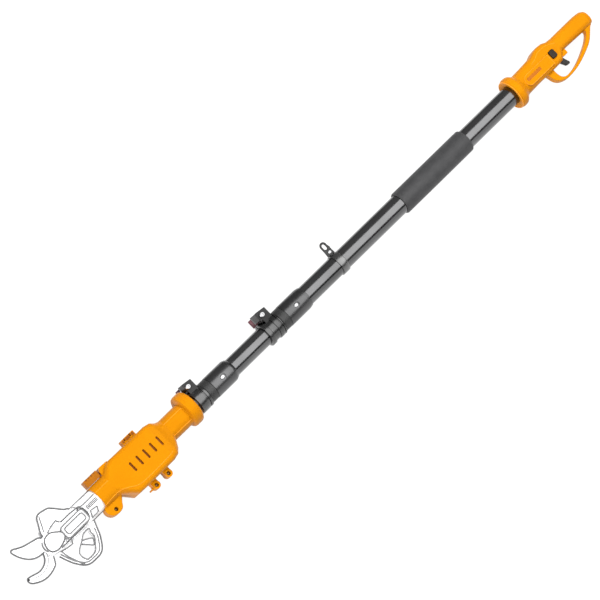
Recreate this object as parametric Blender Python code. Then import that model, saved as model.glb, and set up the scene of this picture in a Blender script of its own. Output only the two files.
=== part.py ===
"""Telescoping pole with a clamp-on head holder and a pruning shear.

All sizes are millimetres measured from the pole's centreline: +X runs along the pole to the
cutting jaws, +Y is the side of the trigger and of the hand loop, +Z is up. finish() moves
everything so that the holder's flat lower face lies at z = 0, and turns millimetres into metres.
"""

import math

import bmesh
import bpy
from mathutils import Matrix, Vector

AXIS_HEIGHT = 33.0  # pole centreline above the holder's flat lower face
GAP = 0.3  # clearance between pieces that don't move on each other
RUN = 0.06  # radial clearance of a pin in a turning piece
WALL = 2.4  # moulded shells

OUTER_R, MIDDLE_R, INNER_R = 17.9, 16.8, 15.7  # the three pole tubes
TUBE_WALL = 0.8
OUTER_X = (-1003.0, -337.0)
MIDDLE_X = (-900.0, -157.5)
INNER_X = (-750.0, -50.0)

TRIGGER_PIVOT = (-1039.0, 0.0)
BLADE_PIVOT = (206.0, 0.0)
GUARD_PIVOT = (177.0, 29.0)
HOLDER_SCREWS = ((-13.5, 51.0), (15.0, 51.0), (93.0, 33.0))
HANDLE_SCREWS = ((-1117.0, -6.0), (-1068.0, -8.0), (-1004.5, 29.0), (-1018.0, -22.0))
BOLT_X, BOLT_Y = 12.5, -28.2  # a clamp bolt, from its ears' rear edge and from the centreline
ROUND = 32  # segments of a full turn on the pole's own parts

for old in list(bpy.data.objects):
    bpy.data.objects.remove(old)


# ---------- geometry helpers ----------
def solid(verts, faces, name="piece"):
    mesh = bpy.data.meshes.new(name)
    mesh.from_pydata([tuple(v) for v in verts], [], faces)
    work = bmesh.new()
    work.from_mesh(mesh)
    bmesh.ops.remove_doubles(work, verts=work.verts, dist=1e-4)
    bmesh.ops.recalc_face_normals(work, faces=work.faces)
    work.to_mesh(mesh)
    work.free()
    obj = bpy.data.objects.new(name, mesh)
    bpy.context.scene.collection.objects.link(obj)
    return obj


def prism(outline, z0, z1, chamfer=0.0, segments=1):
    """The (x, y) outline pushed from z0 to z1, with its two rims chamfered."""
    n = len(outline)
    verts = [(x, y, z0) for x, y in outline] + [(x, y, z1) for x, y in outline]
    faces = [list(range(n))[::-1], list(range(n, 2 * n))]
    faces += [[i, (i + 1) % n, n + (i + 1) % n, n + i] for i in range(n)]
    obj = solid(verts, faces)
    if chamfer:
        work = bmesh.new()
        work.from_mesh(obj.data)
        rims = [
            e for e in work.edges if abs(e.verts[0].co.z - e.verts[1].co.z) < 1e-6
        ]
        bmesh.ops.bevel(
            work, geom=rims, offset=chamfer, segments=segments, profile=0.5, affect="EDGES"
        )
        work.to_mesh(obj.data)
        work.free()
    return obj


def slab(profile, y0, y1):
    """An (x, z) outline drawn out along Y."""
    n = len(profile)
    verts = [(x, y0, z) for x, z in profile] + [(x, y1, z) for x, z in profile]
    faces = [list(range(n)), list(range(n, 2 * n))[::-1]]
    faces += [[i, n + i, n + (i + 1) % n, (i + 1) % n] for i in range(n)]
    return solid(verts, faces)


def box(x0, x1, y0, y1, z0, z1, chamfer=0.0):
    return prism([(x0, y0), (x1, y0), (x1, y1), (x0, y1)], z0, z1, chamfer)


def rounded_box(x0, x1, y0, y1, z0, z1, r, chamfer=0.0, k=3):
    pts = []
    for cx, cy, a0 in (
        (x1 - r, y1 - r, 0),
        (x0 + r, y1 - r, 90),
        (x0 + r, y0 + r, 180),
        (x1 - r, y0 + r, 270),
    ):
        for i in range(k + 1):
            a = math.radians(a0 + 90 * i / k)
            pts.append((cx + r * math.cos(a), cy + r * math.sin(a)))
    return prism(pts, z0, z1, chamfer)


def circle(cx, cy, r, n=24):
    return [
        (cx + r * math.cos(2 * math.pi * i / n), cy + r * math.sin(2 * math.pi * i / n))
        for i in range(n)
    ]


def arc(cx, cy, r, start, sweep, n):
    """The points of an arc given in degrees, both ends included."""
    angles = [math.radians(start + sweep * i / n) for i in range(n + 1)]
    return [(cx + r * math.cos(a), cy + r * math.sin(a)) for a in angles]


def turned(profile, axis="X", centre=(0.0, 0.0), n=ROUND, closed=False):
    """A profile of (position, radius) pairs turned about an axis. An open profile is capped."""
    ring = [2 * math.pi * (i + 0.5) / n for i in range(n)]
    verts, faces = [], []
    for p, r in profile:
        for a in ring:
            c, s = r * math.cos(a), r * math.sin(a)
            if axis == "X":
                verts.append((p, centre[0] + c, centre[1] + s))
            elif axis == "Y":
                verts.append((centre[0] + c, p, centre[1] + s))
            else:
                verts.append((centre[0] + c, centre[1] + s, p))
    rows = len(profile)
    for j in range(rows if closed else rows - 1):
        a, b = j * n, ((j + 1) % rows) * n
        for i in range(n):
            k = (i + 1) % n
            faces.append([a + i, a + k, b + k, b + i])
    if not closed:
        faces.append(list(range(n))[::-1])
        faces.append(list(range((rows - 1) * n, rows * n)))
    return solid(verts, faces)


def rod(p0, p1, r, axis="Z", centre=(0.0, 0.0), n=12):
    return turned([(p0, r), (p1, r)], axis, centre, n)


def ring_of(x0, x1, r_out, r_in, n=ROUND):
    return turned([(x0, r_in), (x0, r_out), (x1, r_out), (x1, r_in)], n=n, closed=True)


def section(x, ylo, yhi, half, r, k=3):
    """One rounded-rectangle section of a loft, from -half to +half in z."""
    r = min(r, (yhi - ylo) / 2 - 0.01, half - 0.01)
    pts = []
    for cy, cz, a0 in (
        (yhi - r, half - r, 0),
        (ylo + r, half - r, 90),
        (ylo + r, r - half, 180),
        (yhi - r, r - half, 270),
    ):
        for i in range(k + 1):
            a = math.radians(a0 + 90 * i / k)
            pts.append((x, cy + r * math.cos(a), cz + r * math.sin(a)))
    return pts


def loft(stations, shrink=0.0, k=3):
    verts, faces = [], []
    n = 4 * (k + 1)
    for x, ylo, yhi, half, r in stations:
        verts += section(
            x, ylo + shrink, yhi - shrink, half - shrink, max(r - shrink, 1.0), k
        )
    for j in range(len(stations) - 1):
        for i in range(n):
            m = (i + 1) % n
            faces.append([j * n + i, j * n + m, (j + 1) * n + m, (j + 1) * n + i])
    faces.append(list(range(n))[::-1])
    faces.append(list(range((len(stations) - 1) * n, len(stations) * n)))
    return solid(verts, faces)


def curve(points, steps=3, closed=False):
    """A smooth line through the points, as Catmull-Rom spans."""
    out, n = [], len(points)
    for i in range(n if closed else n - 1):
        p = [
            Vector(points[(i + d) % n] if closed else points[min(max(i + d, 0), n - 1)])
            for d in (-1, 0, 1, 2)
        ]
        for s in range(steps):
            t = s / steps
            q = 0.5 * (
                2 * p[1]
                + (p[2] - p[0]) * t
                + (2 * p[0] - 5 * p[1] + 4 * p[2] - p[3]) * t * t
                + (3 * p[1] - p[0] - 3 * p[2] + p[3]) * t ** 3
            )
            out.append((q.x, q.y))
    if not closed:
        out.append(tuple(points[-1]))
    return out


def combine(target, other, operation, solver="EXACT"):
    modifier = target.modifiers.new("combine", "BOOLEAN")
    modifier.operation = operation
    modifier.solver = solver
    modifier.object = other
    bpy.context.view_layer.update()
    graph = bpy.context.evaluated_depsgraph_get()
    mesh = bpy.data.meshes.new_from_object(target.evaluated_get(graph))
    target.modifiers.clear()
    target.data = mesh
    bpy.data.objects.remove(other)
    return target


def join(target, *others):
    for other in others:
        combine(target, other, "UNION")
    return target


def cut(target, *others):
    for other in others:
        combine(target, other, "DIFFERENCE")
    return target


def copy_of(obj):
    new = obj.copy()
    new.data = obj.data.copy()
    bpy.context.scene.collection.objects.link(new)
    return new


def half_of(obj, top):
    """The part of the solid above or below the parting plane at the pole's centreline."""
    z = (GAP / 2, 90.0) if top else (-90.0, -GAP / 2)
    return combine(copy_of(obj), box(-1300, 500, -150, 150, *z), "INTERSECT")


def finish(name, obj, smooth=35):
    obj.name = obj.data.name = name
    obj.data.transform(
        Matrix.Scale(0.001, 4) @ Matrix.Translation((0.0, 0.0, AXIS_HEIGHT))
    )
    obj.data.shade_smooth()
    obj.data.set_sharp_from_angle(angle=math.radians(smooth))
    return obj


def dome_screw(name, x, y, seat, depth, head_r, head_h, shank_r, up=True, n=14):
    """A button-head screw along Z with its head's underside at the height of seat."""
    s = 1 if up else -1
    rows = [(seat + s * head_h * h, head_r * r) for h, r in ((1, 0.45), (0.85, 0.72), (0.4, 0.96), (0, 1))]
    rows = [(seat + s * (head_h - 1.2), 0.45 * head_r * 0.9)] + rows
    rows += [(seat, shank_r), (seat - s * depth, shank_r)]
    return finish(name, turned(rows if not up else rows[::-1], "Z", (x, y), n))


# ---------- rear handle ----------
HANDLE = [
    (-1131.5, -12.0, 4.0, 8.0, 7.0),
    (-1129.0, -17.5, 7.0, 12.5, 10.0),
    (-1122.0, -21.5, 9.0, 15.0, 12.0),
    (-1108.0, -22.9, 8.5, 15.8, 12.0),
    (-1060.0, -22.9, 7.0, 16.0, 12.0),
    (-1048.0, -22.9, 8.0, 16.6, 12.0),
    (-1036.0, -24.0, 19.0, 17.8, 10.0),
    (-1027.0, -27.8, 19.8, 18.6, 9.5),
    (-1016.0, -28.8, 20.0, 19.2, 9.5),
    (-1005.0, -27.5, 20.0, 19.6, 9.5),
    (-995.0, -23.8, 19.8, 19.8, 10.0),
    (-975.0, -22.8, 19.6, 20.0, 12.0),
    (-950.0, -22.0, 20.6, 20.4, 17.0),
    (-938.0, -23.5, 23.5, 23.5, 22.0),
]
handle = loft(HANDLE)
join(
    handle,
    turned([
        (-954, 19.0), (-949, 21.4), (-944, 24.6), (-940, 28.2), (-936.5, 29.7), (-931, 29.9),
        (-927.5, 28.9), (-925.6, 27.0), (-925.2, 24.5), (-927.2, 21.0),
    ]),
)
LOOP_OUT = [
    (-994.0, 14.0), (-997.8, 21.5), (-1001.3, 34.0), (-1009.0, 42.5), (-1022.8, 47.0),
    (-1039.8, 46.6), (-1056.8, 43.6), (-1073.8, 38.4), (-1090.7, 32.0), (-1102.5, 25.4),
    (-1112.0, 17.6), (-1119.5, 11.0), (-1126.0, 6.5), (-1126.0, -2.0),
]
LOOP_IN = [
    (-1100.0, 0.0), (-1103.6, 6.6), (-1106.6, 9.8), (-1104.6, 13.8), (-1099.0, 18.6),
    (-1090.7, 23.8), (-1079.4, 29.2), (-1068.0, 34.0), (-1056.8, 38.0), (-1045.5, 41.0),
    (-1034.0, 42.5), (-1022.8, 42.3), (-1016.0, 38.4), (-1013.0, 31.0), (-1012.4, 22.5),
    (-1012.0, 12.0),
]
join(handle, prism(curve(LOOP_OUT, 2) + curve(LOOP_IN, 2), -8.5, 8.5, 1.8))
join(handle, rounded_box(-1054.5, -1040.0, 2.0, 15.6, -9.0, 9.0, 2.0, 1.0))
panel = prism(
    [(-1017.0, -7.5), (-962.0, -7.5)]
    + arc(-962.0, 3.1, 10.6, -67.5, 135, 6)
    + [(-962.0, 13.7), (-1017.0, 13.7)],
    10.0,
    21.3,
    0.6,
)
join(handle, panel)
cavity = loft(HANDLE[1:10], WALL)
for x, y in HANDLE_SCREWS[:2] + HANDLE_SCREWS[3:]:
    cut(cavity, rod(-30, 30, 4.6, "Z", (x, y)))
for side in (-1, 1):
    z = sorted((side * 4.8, side * 30.0))
    cut(cavity, rod(z[0], z[1], 4.2, "Z", TRIGGER_PIVOT))
cut(handle, cavity)
cut(handle, rod(-1010.0, -900.0, OUTER_R + GAP, "X", n=ROUND))
cut(handle, box(-1052.5, -1028.0, 4.0, 24.0, -4.7, 4.7))
cut(handle, rod(-13.0, 13.0, 2.0 + RUN, "Z", TRIGGER_PIVOT))
cut(handle, rounded_box(-1032.4, -1020.6, -8.6, 6.6, 8.0, 30.0, 2.4))
for x, y in HANDLE_SCREWS:
    depth = 8.5 if y > 0 else 20.0
    cut(handle, rod(-depth, 5.0, 1.8, "Z", (x, y)))
    cut(handle, rod(-30.0, -(6.0 if y > 0 else 13.0), 3.5, "Z", (x, y)))
finish("handle_shell_top", half_of(handle, True))
finish("handle_shell_bottom", half_of(handle, False))
bpy.data.objects.remove(handle)
for i, (x, y) in enumerate(HANDLE_SCREWS, 1):
    seat = -(6.0 if y > 0 else 13.0) - GAP
    dome_screw(f"handle_screw_{i}", x, y, seat, 9.0 if y > 0 else 15.0, 3.0, 1.8, 1.45, up=False, n=12)

trigger = prism(
    curve([
        (-1041.5, 5.0), (-1042.3, 14.0), (-1044.8, 22.0), (-1047.0, 29.0), (-1044.0, 31.0),
        (-1038.6, 29.6),
    ], 3)
    + curve([(-1036.4, 25.0), (-1033.4, 19.0), (-1032.6, 10.0), (-1034.4, 2.0)], 3),
    -4.0,
    4.0,
    1.0,
)
join(trigger, prism(circle(*TRIGGER_PIVOT, 5.0, 20), -4.0, 4.0))
join(trigger, box(-1047.2, -1040.0, -3.6, 0.6, -3.0, 3.0))
cut(trigger, rod(-10, 10, 2.0 + RUN, "Z", TRIGGER_PIVOT, 24))
finish("trigger", trigger)
finish("trigger_pin", rod(-12.6, 12.6, 2.0, "Z", TRIGGER_PIVOT))
switch = box(-1061.0, -1049.5, -13.0, -3.0, -12.0, 5.0, 0.5)
join(switch, rod(-1050.0, -1048.0, 1.6, "X", (-5.0, 0.0), 12))
finish("trigger_switch", switch)
button = rounded_box(-1032.0, -1021.0, -8.2, 6.2, 12.5, 22.2, 2.2, 0.8)
join(button, rounded_box(-1033.6, -1019.4, -9.8, 7.8, 11.5, 14.6, 2.2))
for y in (-5.0, -1.0, 3.0):
    cut(button, box(-1029.5, -1023.5, y - 0.6, y + 0.6, 21.5, 24.0))
finish("lock_button", button)

# ---------- the three tubes, the foam grip and the strap bracket ----------
tube_a = ring_of(*OUTER_X, OUTER_R, OUTER_R - TUBE_WALL)
cut(tube_a, rod(10, 25, 2.1, "Z", (-372.4, 0.0)))
finish("outer_tube", tube_a)
tube_b = ring_of(*MIDDLE_X, MIDDLE_R, MIDDLE_R - TUBE_WALL)
cut(tube_b, rod(10, 25, 2.1, "Z", (-192.3, 0.0)))
finish("middle_tube", tube_b)
finish("inner_tube", ring_of(*INNER_X, INNER_R, INNER_R - 1.0))


def end_plug(name, x, r, wall):
    inside = r - wall - GAP
    finish(
        name,
        turned(
            [
                (x - 8, inside - 3), (x - 8, r - 0.8), (x - 7, r), (x - GAP, r), (x - GAP, inside),
                (x + 14, inside), (x + 14, inside - 3),
            ],
            closed=True,
        ),
    )


end_plug("middle_tube_plug", MIDDLE_X[0], MIDDLE_R, TUBE_WALL)
end_plug("inner_tube_plug", INNER_X[0], INNER_R, 1.0)

FOAM_R = 21.3
finish(
    "foam_grip",
    turned(
        [
            (-805.0, OUTER_R + GAP), (-805.0, FOAM_R - 1.6), (-804.0, FOAM_R - 0.5),
            (-802.0, FOAM_R), (-642.0, FOAM_R), (-640.0, FOAM_R - 0.5), (-639.0, FOAM_R - 1.6),
            (-639.0, OUTER_R + GAP),
        ],
        closed=True,
    ),
)

bracket = ring_of(-492.5, -478.5, OUTER_R + GAP + 1.7, OUTER_R - 1.0)
join(
    bracket,
    prism(
        [(-494.0, -13.0), (-493.6, -30.0), (-492.0, -38.0)]
        + arc(-486.4, -39.0, 6.0, 180, 180, 8)
        + [(-480.2, -30.0), (-478.5, -13.0)],
        -1.7,
        1.7,
        0.4,
    ),
)
cut(bracket, rod(-500, -470, OUTER_R + GAP, "X", n=ROUND))
slot = rounded_box(-490.2, -483.0, -42.0, -31.0, -5, 5, 3.4, k=4)
cut(bracket, slot)
cut(bracket, rod(-5, 5, 2.0 + GAP, "Z", (-487.5, -24.5)))
finish("strap_bracket", bracket)
finish(
    "strap_rivet",
    turned([
        (-3.1, 2.4), (-2.4, 3.6), (-2.0, 3.6), (-2.0, 2.0), (2.0, 2.0), (2.0, 3.6), (2.6, 3.3),
        (3.1, 2.2),
    ], "Z", (-487.5, -24.5), 16),
)


# ---------- collars and lever clamps ----------
def collar(name, screw, x0, step, x1, screw_x, tube_r):
    bore = tube_r + GAP
    lip = tube_r - 1.1 + GAP
    body = turned(
        [
            (x0, bore), (x0, bore + 0.9), (x0 + 5.5, 20.5), (step - 0.6, 20.5), (step, 20.0),
            (x1 - 0.6, 20.0), (x1, 19.5), (x1, lip), (x1 - 1.8, lip), (x1 - 1.8, bore),
        ],
        closed=True,
    )
    cut(body, rod(19.2, 30, 5.6, "Z", (screw_x, 0.0), 24))
    cut(body, rod(10, 25, 2.1, "Z", (screw_x, 0.0)))
    finish(name, body)
    dome_screw(screw, screw_x, 0.0, 19.2 + GAP, 2.1, 3.7, 2.4, 1.8)


collar("collar_1", "collar_1_screw", -400.0, -349.3, -334.9, -372.4, OUTER_R)
collar("collar_2", "collar_2_screw", -219.5, -169.5, -155.3, -192.3, MIDDLE_R)


def clamp(tag, bands, block, ear_tip, lever_tip, tube_r):
    """A split ring on the tube, two ears on its -Y side, and a cam lever under the ears.

    The upper ear reaches forward to ear_tip, over the lever.
    """
    bore = tube_r + GAP
    rows = [(bands[0][0], bore)]
    for i, (a, b) in enumerate(bands):
        rows += [(a, 21.2), (a + 0.8, 22.0), (b - 0.8, 22.0), (b, 21.2)]
        if i + 1 < len(bands):
            rows += [(b, 20.0), (bands[i + 1][0], 20.0)]
    rows.append((bands[-1][1], bore))
    body = turned(rows, closed=True)
    x0, x1 = block
    ears = prism([(x0, -12.0), (x0, -35.2), (x1, -37.6), (x1, -12.0)], -15.0, 15.0, 0.8)
    visor = prism([(x0 + 4, -24.0), (x0 + 4, -35.6), (ear_tip, -37.9), (ear_tip, -24.0)], 1.7, 14.4, 0.8)
    cut(visor, slab([(ear_tip - 7.0, 15.0), (ear_tip + 2.0, 15.0), (ear_tip + 2.0, 5.0)], -60.0, 0.0))
    join(ears, visor)
    cut(ears, rod(x0 - 5, ear_tip + 5, bore + 0.8, "X", n=ROUND))
    join(body, ears)
    cut(body, box(bands[0][0] - 5, ear_tip + 5, -60.0, -10.0, -1.75, 1.75))
    x, y = x0 + BOLT_X, BOLT_Y
    cut(body, rod(-30, 30, 3.0 + GAP, "Z", (x, y)))
    finish(f"clamp_{tag}_body", body)
    seat, drop = 15.0 + GAP, -21.2
    bolt = turned(
        [
            (-24.4, 2.4), (-24.0, 3.0), (seat, 3.0), (seat, 6.0), (seat + 1.6, 5.9),
            (seat + 2.9, 5.0), (seat + 3.7, 3.4),
        ],
        "Z",
        (x, y),
        24,
    )
    cut(bolt, prism(circle(x, y, 2.0, 6), seat + 2.0, seat + 8.0))
    cut(bolt, rod(y - 9, y + 9, 1.6 + GAP, "Y", (x, drop), 12))
    finish(f"clamp_{tag}_bolt", bolt)
    profile = arc(x, drop, 5.3, 75, 210, 14)
    profile += [
        (lever_tip - 3.0, -27.4), (lever_tip, -26.2), (lever_tip + 0.6, -23.6),
        (lever_tip - 1.2, -20.6), (x + 9.0, -17.2),
    ]
    y0, y1 = y - 7.8, y + 7.8
    lever = slab(profile, y0, y1)
    cut(lever, box(x - 8.0, x + 5.5, y - 3.5, y + 3.5, -40.0, 0.0))
    cut(lever, rod(y - 20, y + 20, 1.6 + RUN, "Y", (x, drop), 12))
    finish(f"clamp_{tag}_lever", lever)
    finish(f"clamp_{tag}_pin", rod(y0 + 0.4, y1 - 0.4, 1.6, "Y", (x, drop), 12))


clamp("1", [
    (-334.0, -331.4), (-330.0, -321.0), (-309.6, -301.0),
], (-331.0, -313.6), -302.4, -305.4, MIDDLE_R)
clamp("2", [(-154.6, -149.6), (-147.6, -131.0)], (-151.0, -133.0), -127.8, -128.6, INNER_R)

# ---------- head holder: two shells closed round the shear's grip ----------
HOLDER = [
    (-112.0, -21.5, 21.5, 21.8, 19.0),
    (-62.0, -21.5, 21.0, 22.0, 17.0),
    (-53.0, -24.0, 33.0, 25.5, 13.0),
    (-44.0, -30.0, 39.4, 30.5, 10.0),
    (-32.0, -32.4, 42.0, 33.0, 9.0),
    (34.0, -32.4, 42.2, 33.0, 9.0),
    (49.0, -32.8, 41.4, 29.0, 8.5),
    (58.5, -30.0, 31.5, 26.0, 9.0),
    (68.0, -24.5, 23.2, 23.0, 14.0),
    (73.0, -22.4, 22.2, 22.4, 18.0),
    (103.4, -22.4, 22.2, 22.4, 18.0),
]
holder = loft(HOLDER)
join(
    holder,
    turned([
        (-126.0, 24.0), (-125.4, 27.5), (-123.5, 30.0), (-120.0, 31.0), (-110.5, 31.0),
        (-107.0, 30.0), (-105.2, 27.0), (-104.6, 21.0), (-104.6, 18.0),
    ]),
)
for x, y in HOLDER_SCREWS[:2]:
    join(holder, rod(-9.5, 9.5, 6.8, "Z", (x, y), 24))
    join(holder, box(x - 6.6, x + 6.6, 34.0, y, -8.0, 8.0))
join(holder, rounded_box(17.0, 29.0, 50.6, 53.6, -5.0, 5.0, 1.2))
LUG = [
    (68.0, 15.0), (69.4, 22.6), (77.0, 31.4), (82.5, 38.4), (90.0, 41.0), (99.0, 40.4),
    (105.5, 36.5), (109.0, 29.6), (108.2, 22.0), (103.0, 15.0),
]
join(holder, prism(curve(LUG, 2), -10.5, 10.5, 1.4))
join(holder, prism([
    (46.0, -26.0), (49.0, -34.4), (66.0, -35.2), (70.0, -31.0), (71.0, -16.0), (50.0, -16.0),
], -12.0, 12.0, 1.2))
join(holder, rounded_box(-20.5, 8.2, -41.4, -26.0, -9.0, 9.0, 1.4, 1.0))
for x in (-11.4, 1.0):
    cut(holder, box(x - 1.3, x + 1.3, -50.0, -36.0, -20.0, 20.0))
inside = loft([(-46.0, -18, 18, 18, 12)] + HOLDER[4:7] + [(66.0, -20, 20, 20, 12)], 2.8)
for x, y in ((-24.0, -27.0), (38.0, 33.0)):
    cut(inside, rod(-40, 40, 3.6, "Z", (x, y)))
cut(holder, inside)
cut(holder, rod(-140.0, -40.0, INNER_R + GAP, "X", n=ROUND))
cut(holder, rod(50.0, 130.0, 20.3, "X", n=ROUND))
for i in range(5):
    cut(holder, rounded_box(-35.7 + 15.8 * i, -31.7 + 15.8 * i, -6.2, 11.6, 20.0, 50.0, 1.6))
for i, x in enumerate((-98.0, -89.0, -80.0, -71.0)):
    cut(holder, rounded_box(x - 2.6, x + 2.6, 18.6, 30.0, -6.0, 6.0, 0.8))
cut(holder, rod(-60.0, 60.0, 1.8 + GAP, "X", (-38.8, 0.0), 12))
for x, y in HOLDER_SCREWS:
    cut(holder, rod(-6.5, 30, 1.8, "Z", (x, y)))
    cut(holder, rod(5.2, 30, 3.5, "Z", (x, y), 20))
finish("holder_shell_top", half_of(holder, True))
finish("holder_shell_bottom", half_of(holder, False))
bpy.data.objects.remove(holder)
for i, (x, y) in enumerate(HOLDER_SCREWS, 1):
    dome_screw(f"holder_screw_{i}", x, y, 5.2 + GAP, 11.0, 3.0, 1.8, 1.45, n=12)
finish("holder_hinge_pin", rod(-19.6, 7.4, 1.8, "X", (-38.8, 0.0)))

catch = rounded_box(72.6, 102.0, -36.2, -22.8, -9.5, 9.5, 1.2, 1.0)
for x in (78.4, 84.6, 90.8, 96.4):
    cut(catch, box(x - 0.8, x + 0.8, -50.0, -34.4, -20.0, 20.0))
finish("holder_catch", catch)

# ---------- pruning shear held in the holder ----------
NOSE = 227.0
SHEAR = [
    (-28.0, -18.5, 18.5, 18.5, 17.0),
    (-24.0, -19.9, 19.9, 19.9, 19.9),
    (124.0, -19.9, 19.9, 19.9, 19.9),
    (136.0, -20.0, 20.0, 19.0, 13.0),
    (160.0, -20.0, 20.0, 18.0, 8.0),
    (206.0, -19.0, 19.0, 16.0, 7.0),
    (220.0, -17.0, 15.5, 14.0, 6.5),
    (NOSE, -12.0, 10.5, 11.0, 5.5),
]
shear = loft(SHEAR)
LOWER_FAN = [
    (148.0, -12.0), (150.5, -21.5), (157.0, -26.0), (163.0, -33.0), (170.0, -41.0), (175.0, -45.4),
    (183.0, -47.8), (191.0, -49.2), (196.5, -48.4), (201.0, -44.6), (206.5, -35.0), (211.5, -27.0),
    (213.5, -20.0), (212.0, -10.0),
]
join(shear, prism(curve(LOWER_FAN, 1), -9.0, 9.0, 1.4))
SHEAR_HOLLOW = [
    (-25.0, -19.0, 19.0, 19.0, 18.0),
    (124.0, -19.0, 19.0, 19.0, 18.0),
    (180.0, -18.0, 18.0, 17.0, 8.0),
]
cut(shear, loft(SHEAR_HOLLOW, 2.2))
reach = prism(circle(*BLADE_PIVOT, 20.6, 32), -4.5, 3.7)
join(reach, prism([(206.0, -26.5), (245.0, -38.0), (245.0, 34.0), (206.0, 22.0)], -4.5, 3.7))
cut(shear, reach)
cut(shear, rod(-7.6, 7.6, 7.6, "Z", BLADE_PIVOT, 24))
shear_cover_screws = ((143.5, 12.5), (143.5, -12.5), (190.0, 13.5))
for x, y in shear_cover_screws:
    cut(shear, rod(-14.0, 40.0, 1.7, "Z", (x, y)))
top = half_of(shear, True)
cut(top, rounded_box(137.4, 188.6, -8.6, 14.6, 16.4, 40.0, 6.0))
cut(top, prism(curve([
    (188.8, -3.0), (196.0, -14.2), (209.0, -14.6), (222.0, -7.0), (224.4, 2.0), (216.0, 12.4),
    (204.0, 14.4), (192.0, 9.0),
], 3, True), 12.5, 40.0))
for x, y in shear_cover_screws:
    cut(top, rod(14.6, 40.0, 3.3, "Z", (x, y)))
finish("shear_body_top", top)
finish("shear_body_bottom", half_of(shear, False))
bpy.data.objects.remove(shear)
for i, (x, y) in enumerate(shear_cover_screws, 1):
    dome_screw(f"shear_screw_{i}", x, y, 14.6 + GAP, 12.0, 2.8, 1.7, 1.4, n=12)

cover = rounded_box(137.8, 188.2, -8.2, 14.2, 16.4 + GAP, 20.6, 5.6, 1.0)
cut(cover, rounded_box(142.0, 183.0, -3.4, 9.4, 19.8, 30.0, 4.0))
finish("gear_case_cover", cover)
finish(
    "pivot_cover",
    prism(curve([
        (189.2, -2.9), (196.2, -13.7), (208.9, -14.1), (221.5, -6.8), (223.9, 1.9), (215.8, 12.0),
        (204.0, 13.9), (192.3, 8.7),
    ], 3, True), 12.5 + GAP, 19.4, 1.6, 2),
)

GUARD_OUT = [
    (132.5, 20.4), (137.0, 31.0), (142.3, 43.6), (147.5, 52.0), (153.0, 59.6), (159.0, 64.8),
    (166.0, 67.2), (176.0, 67.6), (185.0, 67.2), (192.0, 64.8), (198.0, 60.0), (203.5, 52.8),
    (208.0, 45.6), (213.0, 34.0), (216.6, 23.4),
]
GUARD_IN = [
    (148.0, 24.0), (150.4, 31.0), (150.0, 38.0), (153.6, 44.0), (159.5, 50.6), (165.5, 57.2),
    (172.6, 59.4), (180.0, 59.8), (185.6, 58.8), (188.6, 54.0), (189.8, 48.0), (188.6, 42.4),
    (183.4, 37.4), (175.0, 32.4), (168.0, 28.0), (160.5, 24.0),
]
guard = prism(curve(GUARD_OUT, 2) + [(217.0, 20.4)], -7.5, 7.5, 1.2)
opening = prism(curve(GUARD_IN, 2, True), -20, 20)
cut(guard, opening)
cut(guard, prism(circle(*GUARD_PIVOT, 5.2, 20), -4.6, 4.6))
cut(guard, prism([(168.0, 27.5), (176.0, 23.8), (180.0, 32.0), (176.0, 38.0), (166.0, 36.0)], -4.6, 4.6))
cut(guard, rod(-6.4, 6.4, 1.5 + RUN, "Z", GUARD_PIVOT, 12))
front = prism([(199.0, 50.0), (209.0, 24.5), (211.5, 24.5), (202.5, 50.0)], 5.6, 20.0)
cut(guard, front)
finish("finger_guard", guard)
trigger_2 = prism(
    curve([
        (171.5, 29.8), (163.0, 34.0), (154.6, 39.4), (155.6, 44.0), (160.4, 48.8), (166.0, 43.6),
        (175.6, 33.4),
    ], 2),
    -4.0,
    4.0,
    0.9,
)
join(trigger_2, prism(circle(*GUARD_PIVOT, 4.4, 20), -4.0, 4.0))
join(trigger_2, prism([(171.0, 30.0), (174.0, 25.6), (179.0, 32.6), (175.0, 34.0)], -3.9, 3.9))
cut(trigger_2, rod(-10, 10, 1.5 + RUN, "Z", GUARD_PIVOT, 12))
finish("shear_trigger", trigger_2)
finish("shear_trigger_pin", rod(-6.1, 6.1, 1.5, "Z", GUARD_PIVOT))

jaw_line = curve([
    (222.0, 16.0), (228.5, 26.6), (235.0, 30.0), (243.0, 32.2), (251.0, 33.0), (258.5, 32.2),
    (266.0, 29.8), (272.5, 26.4), (277.6, 22.6), (279.4, 18.0), (277.8, 14.8),
], 2)
jaw_edge = curve([
    (273.0, 15.4), (266.5, 17.2), (259.0, 19.4), (252.0, 19.8), (244.0, 18.0), (237.0, 14.0),
    (232.4, 8.6), (229.6, 2.0), (228.6, -6.0),
], 2)
jaw = prism([(206.0, 18.4), (214.0, 16.6)] + jaw_line + jaw_edge + [
    (222.0, -9.0), (206.0, -12.0),
], -4.2, -GAP / 2, 0.5)
join(jaw, rod(-4.2, -GAP / 2, 18.6, "Z", BLADE_PIVOT, 24))
cut(jaw, rod(-10, 10, 4.0 + GAP, "Z", BLADE_PIVOT, 24))
finish("hook_jaw", jaw)
blade_back = curve([
    (214.0, -17.0), (220.0, -22.0), (228.0, -24.2), (238.0, -26.6), (248.0, -29.4), (256.0, -33.0),
    (262.0, -36.4), (266.6, -37.6), (269.0, -35.4),
], 2)
blade_edge = curve([
    (268.0, -30.0), (265.4, -23.0), (261.4, -15.6), (256.0, -8.8), (250.0, -3.8), (243.0, -0.6),
    (236.0, 0.8), (229.0, 1.6),
], 2)
blade = prism([(206.0, -17.6)] + blade_back + blade_edge + [
    (214.0, 14.0), (206.0, 16.0),
], GAP / 2, 3.3, 0.4)
join(blade, rod(GAP / 2, 3.3, 18.4, "Z", BLADE_PIVOT, 24))
cut(blade, rod(-10, 10, 4.0 + RUN, "Z", BLADE_PIVOT, 24))
finish("cutting_blade", blade)
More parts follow.
